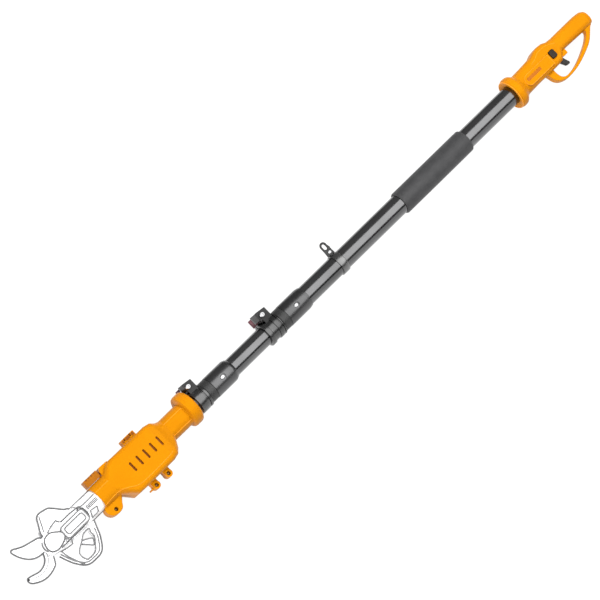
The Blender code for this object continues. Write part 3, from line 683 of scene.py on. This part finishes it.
# ---------- collars and clamps ----------
def collar(name, node, body, x0, step, x1, screw_x, tube_r):
    """A collar from x0 to x1 on a tube, with a dark ring from its step on and one screw on top."""
    bore = tube_r + GAP
    lip = tube_r - 1.1 + GAP
    barrel = turned(
        [(x0, bore), (x0, bore + 0.5), (x0 + 0.6, bore + 1.2), (x0 + 5.2, 20.1), (x0 + 6.4, 20.5),
         (step - 0.9, 20.5), (step - 0.3, 20.2), (step - 0.1, 19.6), (step - 0.1, bore)],
        closed=True,
    )
    cut(barrel, rod(18.9, 30, 6.2, "Z", (screw_x, 0.0), 48))
    finish_piece(name, barrel, COLLAR, body, node, 30)
    ring = turned(
        [(step, bore), (step, 19.5), (step + 0.4, 20.0), (x1 - 0.7, 20.0), (x1 - 0.2, 19.7), (x1, 19.3),
         (x1, lip), (x1 - 1.8, lip), (x1 - 1.8, bore)],
        closed=True,
    )
    finish_piece(f"{name}_ring", ring, COLLAR_RING, body, None, 30)
    dome = [(18.2, 4.2), (19.6, 4.3), (20.2, 4.0), (20.7, 3.2), (21.0, 1.8), (21.1, 0.6)]
    head = turned(dome, "Z", (screw_x, 0.0), 40)
    finish_piece(f"{name}_screw_head", head, CHROME, body, f"{node}_screw", 50)


collar("rear_collar", "collar_1", "pole_handle", -400.0, -349.3, -334.9, -372.4, OUTER_R)
collar("front_collar", "collar_2", "middle_section", -219.5, -169.5, -155.3, -192.3, MIDDLE_R)


def clamp(tag, bands, block, ear_tip, lever_tip, tube_r, body, lever_body):
    """A split ring with raised bands, a block of two ears, the bolt through them and a cam lever."""
    bore = tube_r + GAP
    rows = [(bands[0][0], bore)]
    for i, (a, b) in enumerate(bands):
        rows += [(a, 21.0), (a + 0.3, 21.6), (a + 1.0, 22.0), (b - 1.0, 22.0), (b - 0.3, 21.6), (b, 21.0)]
        if i + 1 < len(bands):
            rows += [(b, 20.0), (bands[i + 1][0], 20.0)]
    rows.append((bands[-1][1], bore))
    ring = turned(rows, closed=True)
    x0, x1 = block
    ears = prism([(x0, -12.0), (x0, -35.2), (x1, -37.6), (x1, -12.0)], -15.0, 15.0, 1.0)
    visor = prism([(x0 + 4, -24.0), (x0 + 4, -35.6), (ear_tip, -37.9), (ear_tip, -24.0)], 1.7, 14.4, 0.8)
    cut(visor, slab([(ear_tip - 7.0, 15.0), (ear_tip + 2.0, 15.0), (ear_tip + 2.0, 5.0)], -60.0, 0.0))
    join(ears, visor)
    cut(ears, rod(x0 - 5, ear_tip + 5, bore + 0.8, "X", n=ROUND))
    x, y = x0 + BOLT_X, BOLT_Y
    cut(ears, rod(-30, 30, 3.3, "Z", (x, y), 24))
    for piece in (ring, ears):
        cut(piece, box(bands[0][0] - 5, ear_tip + 5, -60.0, -10.0, -1.75, 1.75))
    finish_piece(f"clamp_{tag}_ring", ring, CLAMP, body, f"clamp_{tag}_body", 30)
    # The ears take the darker copy of the casting: painted shade.
    finish_piece(f"clamp_{tag}_ears", ears, SHADED_CLAMP_EAR, body, None, 30)
    seat, drop = 15.0 + GAP, -21.2
    bolt = turned(
        [(-24.4, 2.4), (-24.0, 3.0), (seat, 3.0), (seat, 5.2), (seat + 0.3, 5.5), (seat + 1.3, 5.45),
         (seat + 2.2, 5.1), (seat + 3.0, 4.5), (seat + 3.5, 3.8), (seat + 3.7, 3.0)],
        "Z", (x, y), 48,
    )
    cut(bolt, prism(circle(x, y, 2.2, 6), seat + 1.6, seat + 8.0))
    finish_piece(f"clamp_{tag}_cap_bolt", bolt, CHROME, body, f"clamp_{tag}_bolt")
    profile = arc(x, drop, 5.3, 75, 210, 30) + [
        (lever_tip - 3.0, -27.4), (lever_tip - 0.6, -26.9), (lever_tip, -26.2), (lever_tip + 0.6, -23.6),
        (lever_tip, -21.6), (lever_tip - 1.2, -20.6), (x + 9.0, -17.2),
    ]
    lever = slab(profile, y - 7.8, y + 7.8, 0.8)
    cut(lever, box(x - 8.0, x + 5.5, y - 3.5, y + 3.5, -40.0, 0.0))
    finish_piece(f"clamp_{tag}_cam_lever", lever, LEVER, lever_body, f"clamp_{tag}_lever")


clamp(
    "1", [(-334.0, -331.4), (-330.0, -321.0), (-309.6, -301.0)], (-331.0, -313.6), -302.4, -305.4, MIDDLE_R,
    "pole_handle", "clamp_1_lever",
)
clamp(
    "2", [(-154.6, -149.6), (-147.6, -131.0)], (-151.0, -133.0), -127.8, -128.6, INNER_R,
    "middle_section", "clamp_2_lever",
)

# ---------- head holder ----------
# body with its flange, two screw ears, the front lug, the side block and the hinge block
HOLDER = [
    (-112.0, -21.5, 21.5, 21.8, 19.0),
    (-62.0, -21.5, 21.0, 22.0, 17.0),
    (-53.0, -24.0, 33.0, 25.5, 13.0),
    (-44.0, -30.0, 39.4, 30.5, 10.0),
    (-32.0, -32.4, 42.0, 33.0, 9.0),
    (34.0, -32.4, 42.2, 33.0, 9.0),
    (49.0, -32.8, 41.4, 29.0, 8.5),
    (58.5, -30.0, 31.5, 26.0, 9.0),
    (68.0, -24.5, 23.2, 23.0, 14.0),
    (73.0, -22.4, 22.2, 22.4, 18.0),
    (103.4, -22.4, 22.2, 22.4, 18.0),
]
holder = loft(HOLDER)
FLANGE = [
    (-126.0, 24.0), (-125.4, 27.5), (-123.5, 30.0), (-120.0, 31.0), (-110.5, 31.0), (-107.0, 30.0),
    (-105.2, 27.0), (-104.6, 21.0), (-104.6, 18.0),
]
FLANGE_SHIFT = -2.5
join(holder, turned(FLANGE, centre=(FLANGE_SHIFT, 0.0)))
for x, y in HOLDER_SCREWS[:2]:
    join(holder, rod(-9.5, 9.5, 6.8, "Z", (x, y), 40))
    join(holder, box(x - 6.6, x + 6.6, 34.0, y, -8.0, 8.0))
join(holder, rounded_box(17.0, 29.0, 50.6, 53.6, -5.0, 5.0, 1.2))
LUG = [
    (68.0, 15.0), (69.4, 22.6), (77.0, 31.4), (82.5, 38.4), (90.0, 41.0), (99.0, 40.4),
    (105.5, 36.5), (109.0, 29.6), (108.2, 22.0), (103.0, 15.0),
]
join(holder, prism(curve(LUG, 2), -10.5, 10.5, 1.4, 2))
SIDE_BLOCK = [
    (46.0, -26.0), (49.0, -34.4), (66.0, -35.2), (70.0, -31.0), (71.0, -16.0), (50.0, -16.0),
]
join(holder, prism(SIDE_BLOCK, -12.0, 12.0, 1.2))
join(holder, rounded_box(-20.5, 8.2, -41.4, -26.0, -9.0, 9.0, 1.4, 1.0))
for x in (-11.4, 1.0):
    cut(holder, box(x - 1.3, x + 1.3, -50.0, -36.0, -20.0, 20.0))

# the hollow inside, the bores for the tube and the shear, and the vents
inside = loft([(-46.0, -18, 18, 18, 12)] + HOLDER[4:7] + [(66.0, -20, 20, 20, 12)], 2.8, 6)
cut(holder, inside)
cut(holder, rod(-140.0, -40.0, INNER_R + GAP, "X", n=ROUND))
cut(holder, rod(50.0, 130.0, 20.3, "X", n=ROUND))
VENT_PITCH, VENT_WIDTH = 15.8, 4.0
for i in range(5):
    x = -35.7 + VENT_PITCH * i
    cut(holder, rounded_box(x, x + VENT_WIDTH, -6.2, 11.6, 20.0, 50.0, 1.6))
NECK_POCKETS = (-98.0, -89.0, -80.0, -71.0)
for x in NECK_POCKETS:
    cut(holder, rounded_box(x - 2.6, x + 2.6, 18.6, 30.0, -6.0, 6.0, 0.8))
for x, y in HOLDER_SCREWS:
    cut(holder, rod(5.2, 30, 3.5, "Z", (x, y), 32))
holder_tree = finish_shells(holder, "holder", "head")

# ridges in the lighter orange as painted highlight, dark fills of painted shade behind the openings and in
# the slots and pockets, and the catch
RIDGES = {
    "side": curve([
        (-38.0, 29.5), (-28.0, 31.4), (18.0, 32.4), (42.0, 30.6), (58.0, 21.5), (72.6, 15.4),
        (103.0, 16.4),
    ], 4),
    "front": [(73.0, -9.6), (103.0, -9.6)],
    "neck_left": [(-104.0, -11.2), (-60.0, -11.2)],
    "neck_right": [(-104.0, 13.8), (-60.0, 13.8)],
}
for name, path in RIDGES.items():
    highlight_ridge(f"holder_highlight_ridge_{name}", draped(holder_tree, path, lift=-0.1), 0.8, "head")
# A dark brown sheet under the vents: painted shade seen through them.
vent_shade_sheet = rounded_box(-38.5, 34.5, -8.6, 14.0, 27.6, 29.4, 1.6)
finish_piece("vent_painted_shade", vent_shade_sheet, SHADE_BROWN, "head", None)
# Dark brown fills in the hinge block's slots: painted shade.
for i, (x0, x1) in enumerate(((-18.6, -13.6), (-9.4, -0.9), (3.2, 6.6))):
    shade_pocket = rounded_box(x0, x1, -40.0, -34.6, 8.2, 9.25, 0.7)
    finish_piece(f"hinge_slot_painted_shade_{i + 1}", shade_pocket, SHADE_BROWN, "head", None)
# Dark brown fills in the neck pockets: painted shade.
for i, x in enumerate(NECK_POCKETS):
    shade_pocket = rounded_box(x - 2.3, x + 2.3, 17.6, 19.4, -5.6, 8.4, 0.6)
    finish_piece(f"neck_pocket_painted_shade_{i + 1}", shade_pocket, SHADE_BROWN, "head", None)
catch = rounded_box(72.6, 102.0, -36.2, -22.8, -9.5, 9.5, 1.2, 1.0)
# Dark brown fills in the catch's grooves: painted shade.
for i, x in enumerate((78.4, 84.6, 90.8, 96.4)):
    cut(catch, box(x - 1.1, x + 1.1, -50.0, -33.0, -20.0, 20.0))
    slot_shade = box(x - 1.0, x + 1.0, -35.0, -32.0, -9.0, 9.0)
    finish_piece(f"catch_groove_painted_shade_{i + 1}", slot_shade, SHADE_BROWN, "head", None)
finish_piece("holder_catch_block", catch, AMBER, "head", "holder_catch")

# ---------- pruning shear ----------
# body with its lower fan, and the room that the blade sweeps
HALF_FAN, HALF_GUARD = 9.0, 7.5
JAW_UNDER, BLADE_TOP, PIVOT_HOLE = -4.2, 3.3, 4.0
COVER_TOP, CAP_TOP = 20.6, 19.4
SHEAR = [
    (-28.0, -18.5, 18.5, 18.5, 17.0),
    (-24.0, -19.9, 19.9, 19.9, 19.9),
    (124.0, -19.9, 19.9, 19.9, 19.9),
    (136.0, -20.0, 20.0, 19.0, 13.0),
    (160.0, -20.0, 20.0, 18.0, 8.0),
    (206.0, -19.0, 19.0, 16.0, 7.0),
    (220.0, -17.0, 15.5, 14.0, 6.5),
    (227.0, -12.0, 10.5, 11.0, 5.5),
]
shear = loft(SHEAR)
LOWER_FAN = [
    (148.0, -12.0), (150.5, -21.5), (157.0, -26.0), (163.0, -33.0), (170.0, -41.0), (175.0, -45.4),
    (183.0, -47.8), (191.0, -49.2), (196.5, -48.4), (201.0, -44.6), (206.5, -35.0), (211.5, -27.0),
    (213.5, -20.0), (212.0, -10.0),
]
join(shear, prism(curve(LOWER_FAN, 2), -HALF_FAN, HALF_FAN, 1.4))
reach = prism(circle(*BLADE_PIVOT, 20.6, 64), -4.5, 3.7)
join(reach, prism([(206.0, -26.5), (245.0, -38.0), (245.0, 34.0), (206.0, 22.0)], -4.5, 3.7))
cut(shear, reach)
cut(shear, rod(-7.6, 7.6, 7.6, "Z", BLADE_PIVOT, 48))
shear_top = half_of(shear, True)
shear_bottom = half_of(shear, False)
bpy.data.objects.remove(shear)
cut(shear_top, rounded_box(137.4, 188.6, -8.6, 14.6, 16.4, 40.0, 6.0))
EGG = [
    (187.0, 0.6), (196.2, -9.2), (205.8, -14.6), (218.4, -12.3), (224.6, -1.0), (222.6, 9.6), (211.4, 14.2),
    (193.6, 9.4),
]
cut(shear_top, prism(inset(curve(EGG, closed=True), -0.4, True), 12.5, 40.0))
SHEAR_SCREWS = ((143.5, 12.5), (143.5, -12.5), (190.0, 13.5))
for x, y in SHEAR_SCREWS:
    cut(shear_top, rod(14.6, 40.0, 3.3, "Z", (x, y), 32))

# gear case cover and pivot cap
COVER = (137.8, 188.2, -8.2, 14.2)
WELL = (142.0, 183.0, -3.4, 9.4)
cover = rounded_box(*COVER, 16.7, COVER_TOP, 5.6, 1.0)
cut(cover, rounded_box(*WELL, COVER_TOP - 0.8, 30.0, 4.0))
cap = prism(curve(EGG, closed=True), 12.8, CAP_TOP, 1.6, 4)

# finger guard
GUARD_OUT = [
    (132.5, 20.4), (137.0, 31.0), (142.3, 43.6), (147.5, 52.0), (153.0, 59.6), (159.0, 64.8),
    (166.0, 67.2), (176.0, 67.6), (185.0, 67.2), (192.0, 64.8), (198.0, 60.0), (203.5, 52.8),
    (208.0, 45.6), (213.0, 34.0), (216.6, 23.4),
]
GUARD_IN = [
    (148.0, 24.0), (150.4, 31.0), (150.0, 38.0), (153.6, 44.0), (159.5, 50.6), (165.5, 57.2),
    (172.6, 59.4), (180.0, 59.8), (185.6, 58.8), (188.6, 54.0), (189.8, 48.0), (188.6, 42.4),
    (183.4, 37.4), (175.0, 32.4), (168.0, 28.0), (160.5, 24.0),
]
guard = prism(curve(GUARD_OUT, 2) + [(217.0, 20.4)], -HALF_GUARD, HALF_GUARD, 1.2)
cut(guard, prism(curve(GUARD_IN, 2, True), -20, 20))
cut(guard, prism(circle(*GUARD_PIVOT, 5.2, 40), -4.6, 4.6))
cut(guard, prism([(168.0, 27.5), (176.0, 23.8), (180.0, 32.0), (176.0, 38.0), (166.0, 36.0)], -4.6, 4.6))
case = tree_of(shear_top, cover, cap, guard)
for name, piece, node in (
    ("shear_case_top", shear_top, "shear_body_top"),
    ("shear_case_bottom", shear_bottom, "shear_body_bottom"),
    ("gear_cover", cover, "gear_case_cover"),
    ("pivot_cap", cap, "pivot_cover"),
    ("hand_guard", guard, "finger_guard"),
):
    finish_piece(name, piece, PALE, "head", node, 30)

# the shear's own trigger
SHEAR_TRIGGER = [
    (171.5, 29.8), (163.0, 34.0), (154.6, 39.4), (155.6, 44.0), (160.4, 48.8), (166.0, 43.6),
    (175.6, 33.4),
]
small_trigger = prism(curve(SHEAR_TRIGGER, 2), -TRIGGER_HALF, TRIGGER_HALF, 0.9)
join(small_trigger, prism(circle(*GUARD_PIVOT, 4.4, 40), -TRIGGER_HALF, TRIGGER_HALF))
join(small_trigger, prism([(171.0, 30.0), (174.0, 25.6), (179.0, 32.6), (175.0, 34.0)], -3.9, 3.9))
finish_piece(
    "shear_trigger_blade", small_trigger, PALE_GREY, "shear_trigger", "shear_trigger", 30,
)

# hook jaw and cutting blade
JAW_LINE = [
    (222.0, 16.0), (228.5, 26.6), (235.0, 30.0), (243.0, 32.2), (251.0, 33.0), (258.5, 32.2),
    (266.0, 29.8), (272.5, 26.4), (277.6, 22.6), (279.4, 18.0), (277.8, 14.8),
]
JAW_EDGE = [
    (273.0, 15.4), (266.5, 17.2), (259.0, 19.4), (252.0, 19.8), (244.0, 18.0), (237.0, 14.0),
    (232.4, 8.6), (229.6, 2.0), (228.6, -6.0),
]
JAW_BACK, JAW_BITE = curve(JAW_LINE), curve(JAW_EDGE)
JAW = [(206.0, 18.4), (214.0, 16.6)] + JAW_BACK + JAW_BITE + [(222.0, -9.0), (206.0, -12.0)]
jaw = prism(JAW, JAW_UNDER, -GAP / 2, 0.5)
join(jaw, rod(JAW_UNDER, -GAP / 2, 18.6, "Z", BLADE_PIVOT, 64))
cut(jaw, rod(-10, 10, PIVOT_HOLE + GAP, "Z", BLADE_PIVOT, 32))
hook = tree_of(jaw)
finish_piece("hook", jaw, BLADE, "head", "hook_jaw", 30)
BLADE_BACK = [
    (214.0, -17.0), (220.0, -22.0), (228.0, -24.2), (238.0, -26.6), (248.0, -29.4), (256.0, -33.0),
    (262.0, -36.4), (266.6, -37.6), (269.0, -35.4),
]
BLADE_EDGE = [
    (268.0, -30.0), (265.4, -23.0), (261.4, -15.6), (256.0, -8.8), (250.0, -3.8), (243.0, -0.6),
    (236.0, 0.8), (229.0, 1.6),
]
BLADE_LINE = curve(BLADE_BACK) + curve(BLADE_EDGE)
blade = prism([(206.0, -17.6)] + BLADE_LINE + [(214.0, 14.0), (206.0, 16.0)], GAP / 2, BLADE_TOP, 0.4)
join(blade, rod(GAP / 2, BLADE_TOP, 18.4, "Z", BLADE_PIVOT, 64))
cut(blade, rod(-10, 10, PIVOT_HOLE + RUN, "Z", BLADE_PIVOT, 32))
finish_piece("curved_blade", blade, BLADE, "cutting_blade", "cutting_blade", 30)

# ---------- thin seam beads round the shear's parts ----------
GUARD_EDGE = curve(GUARD_OUT)
seam("guard_outer", at(GUARD_EDGE, HALF_GUARD - 0.3))
fine_seam("guard_rim", draped(case, inset(GUARD_EDGE[6:], -4.2)))
fine_seam("guard_window", at(curve(GUARD_IN, closed=True), HALF_GUARD - 0.1), 1.3, closed=True)
fine_seam("guard_front", draped(case, curve([(194.5, 62.7), (204.6, 37.5), (208.6, 18.6)], 4)))
seam("fan", at(curve(LOWER_FAN), HALF_FAN - 0.2))
seam("fan_front", draped(case, [(207.1, -22.6), (195.0, -46.2)]), 1.0)
seam("jaw", at(inset(JAW_BACK + JAW_BITE, 0.9), -1.85), 1.65)
seam("jaw_bevel", draped(hook, inset(JAW_BITE[4:], -4.4), lift=-1.7), 1.95)
seam("blade", at(BLADE_LINE, BLADE_TOP + 0.1), 1.4, body="cutting_blade")
seam("cap", at(curve(EGG, 4, True), CAP_TOP - 0.5), 1.35, closed=True)
fine_seam("cover", at(rounded_rect(*COVER, 5.6), COVER_TOP - 0.1), closed=True)
fine_seam("cover_well", at(rounded_rect(*WELL, 4.0), COVER_TOP + 0.1), closed=True)
fine_seam("trigger", at(curve(SHEAR_TRIGGER), TRIGGER_HALF + 0.2), body="shear_trigger", closed=True)
GEAR_EDGE = [
    (205.0, 16.1), (155.9, 16.1), (143.0, 14.8), (137.0, 11.0), (134.5, 3.5), (135.5, -6.5), (142.0, -13.2),
    (157.9, -14.9), (178.0, -14.9),
]
NECK_WINDOW = [(115.5, 7.3), (118.5, 15.0), (133.6, 15.8), (129.0, 5.2)]
seam("gear_case", draped(case, GEAR_EDGE), 1.35)
for i, y in enumerate((0.6, -1.8, -4.2)):
    seam(f"neck_rib_{i + 1}", draped(case, [(107.0, y), (131.0, y)]), 0.85)
fine_seam("neck_window", draped(case, NECK_WINDOW, True), closed=True)
SWAGE = [(106.0, -10.0), (131.0, -10.0), (139.0, -12.6), (147.0, -18.6)]
fine_seam("neck_swage", draped(case, curve(SWAGE, 4)))
seam("neck_edge_right", at([(104.0, 19.6), (133.0, 19.6)], 2.6))
seam("neck_edge_left", at([(104.0, -19.6), (149.0, -19.8)], 2.6))
fine_seam("tab_right", draped(case, [(184.1, 18.1), (185.1, 23.9), (196.1, 22.9), (208.2, 20.0)]))
fine_seam("tab_left", draped(case, [(179.1, -15.9), (179.1, -22.7), (193.1, -20.7), (205.2, -16.8)]))
fine_seam("nose", draped(case, curve([(222.5, -12.0), (226.0, -7.0), (227.0, 0.0), (225.0, 6.0)], 4)))
bead("hook_tip", at([(277.0, 15.4), (278.8, 17.8)], -0.8), 1.7, BLACK, "head", False)

# ---------- everything carried over from the CAD gets a material too ----------
CARRIED = {
    "trigger_switch": BLACK,
    "battery_cell_pack": BLACK,
    "middle_tube_plug": BLACK,
    "inner_tube_plug": BLACK,
    "pivot_bolt": CHROME,
    "strap_rivet": CHROME,
}


def carried_material(name):
    if name.startswith("holder_screw"):
        return BRONZE
    if name.startswith("shear_screw"):
        return CHROME
    return CARRIED.get(name, DARK_STEEL)


for name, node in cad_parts.items():
    if not node.hide_render:
        node.data.materials.clear()
        node.data.materials.append(carried_material(name))

# ---------- camera ----------
TILT = math.radians(20.0)
DISTANCE = 7.0
AIM = Vector((-0.3902, -0.0016, AXIS_HEIGHT * MM))
along = Vector((math.cos(TILT), 0.0, -math.sin(TILT)))
across = Vector((0.0, 1.0, 0.0))
back = Vector((math.sin(TILT), 0.0, math.cos(TILT)))
ROLL = math.radians(44.306)
right = -math.cos(ROLL) * along + math.sin(ROLL) * across
up = -math.sin(ROLL) * along - math.cos(ROLL) * across
camera_data = bpy.data.cameras.new("camera")
camera_data.sensor_width = 36.0
camera_data.lens = 252.0
camera_data.clip_start, camera_data.clip_end = 0.1, 60.0
camera = bpy.data.objects.new("camera", camera_data)
rotation = Matrix((right, up, back)).transposed()
camera.matrix_world = Matrix.Translation(AIM + back * DISTANCE) @ rotation.to_4x4()
bpy.context.scene.collection.objects.link(camera)
bpy.context.scene.camera = camera

# ---------- floor, lights and reflectors ----------
FLOOR = 15.0


def staged(name, corners, material):
    mesh = bpy.data.meshes.new(name)
    mesh.from_pydata(corners, [], [(0, 1, 2, 3)])
    mesh.materials.append(material)
    obj = bpy.data.objects.new(name, mesh)
    bpy.context.scene.collection.objects.link(obj)
    return obj


staged(
    "floor", [(-FLOOR, -FLOOR, 0), (FLOOR, -FLOOR, 0), (FLOOR, FLOOR, 0), (-FLOOR, FLOOR, 0)],
    glowing("floor_white", 0.1, 0.93),
)


def area(name, place, target, size_x, size_y, watts):
    data = bpy.data.lights.new(name, "AREA")
    data.shape = "RECTANGLE"
    data.size, data.size_y = size_x, size_y
    data.energy = watts
    lamp = bpy.data.objects.new(name, data)
    lamp.location = place
    lamp.rotation_mode = "QUATERNION"
    aim = Vector(target) - Vector(place)
    lamp.rotation_quaternion = aim.to_track_quat("-Z", "Y")
    bpy.context.scene.collection.objects.link(lamp)
    return lamp


strip = area("strip_overhead", (-0.75, 0.0, 1.6), (-0.75, 0.0, 0.0), 4.6, 2.1, 73.0)
strip.rotation_quaternion = (1.0, 0.0, 0.0, 0.0)  # straight down, with its long side along the pole
key = area("key", (-1.6, -1.6, 2.4), (-0.4, 0.0, 0.03), 1.0, 1.0, 90.0)
key.visible_glossy = False
front_fill = area("front_fill", (3.5, 0.4, 1.6), (-0.5, 0.0, 0.03), 1.6, 1.6, 130.0)
front_fill.visible_glossy = False


def screen(name, corners, brightness, camera=False, reflections=True):
    """A flat staged surface that casts no shadow and adds no diffuse light."""
    obj = staged(name, corners, glowing(name, 0.0, brightness))
    obj.visible_camera = camera
    obj.visible_glossy = reflections
    obj.visible_diffuse = obj.visible_shadow = False
    obj.visible_transmission = obj.visible_volume_scatter = False


screen("low_screen_left", [(-4, -5, 0.002), (3, -5, 0.002), (3, -0.075, 0.002), (-4, -0.075, 0.002)], 0.23)
screen("wall_screen_left", [(-4, -2.2, 0.01), (3, -2.2, 0.01), (3, -2.2, 2.9), (-4, -2.2, 2.9)], 0.27)
screen("wall_screen_right", [(-4, 2.2, 0.01), (3, 2.2, 0.01), (3, 2.2, 1.45), (-4, 2.2, 1.45)], 0.95)
screen("wall_screen_front", [(3.2, 1.3, 0.3), (3.2, -1.3, 0.3), (3.2, -1.3, 2.4), (3.2, 1.3, 2.4)], 5.0)
BACKDROP, BACKDROP_TOP = 14.9, 12.0
for i, (x, y) in enumerate(((1, 0), (0, 1), (-1, 0), (0, -1))):
    ax, ay = BACKDROP * (x + y), BACKDROP * (y - x)
    bx, by = BACKDROP * (x - y), BACKDROP * (y + x)
    corners = [(ax, ay, 0.0), (bx, by, 0.0), (bx, by, BACKDROP_TOP), (ax, ay, BACKDROP_TOP)]
    screen(f"backdrop_{i + 1}", corners, 1.0, camera=True, reflections=False)

world = bpy.data.worlds.new("world")
world.use_nodes = True
world.node_tree.nodes["Background"].inputs["Color"].default_value = (1.0, 1.0, 1.0, 1.0)
world.node_tree.nodes["Background"].inputs["Strength"].default_value = 0.1
bpy.context.scene.world = world
bpy.context.scene.view_settings.view_transform = "Standard"
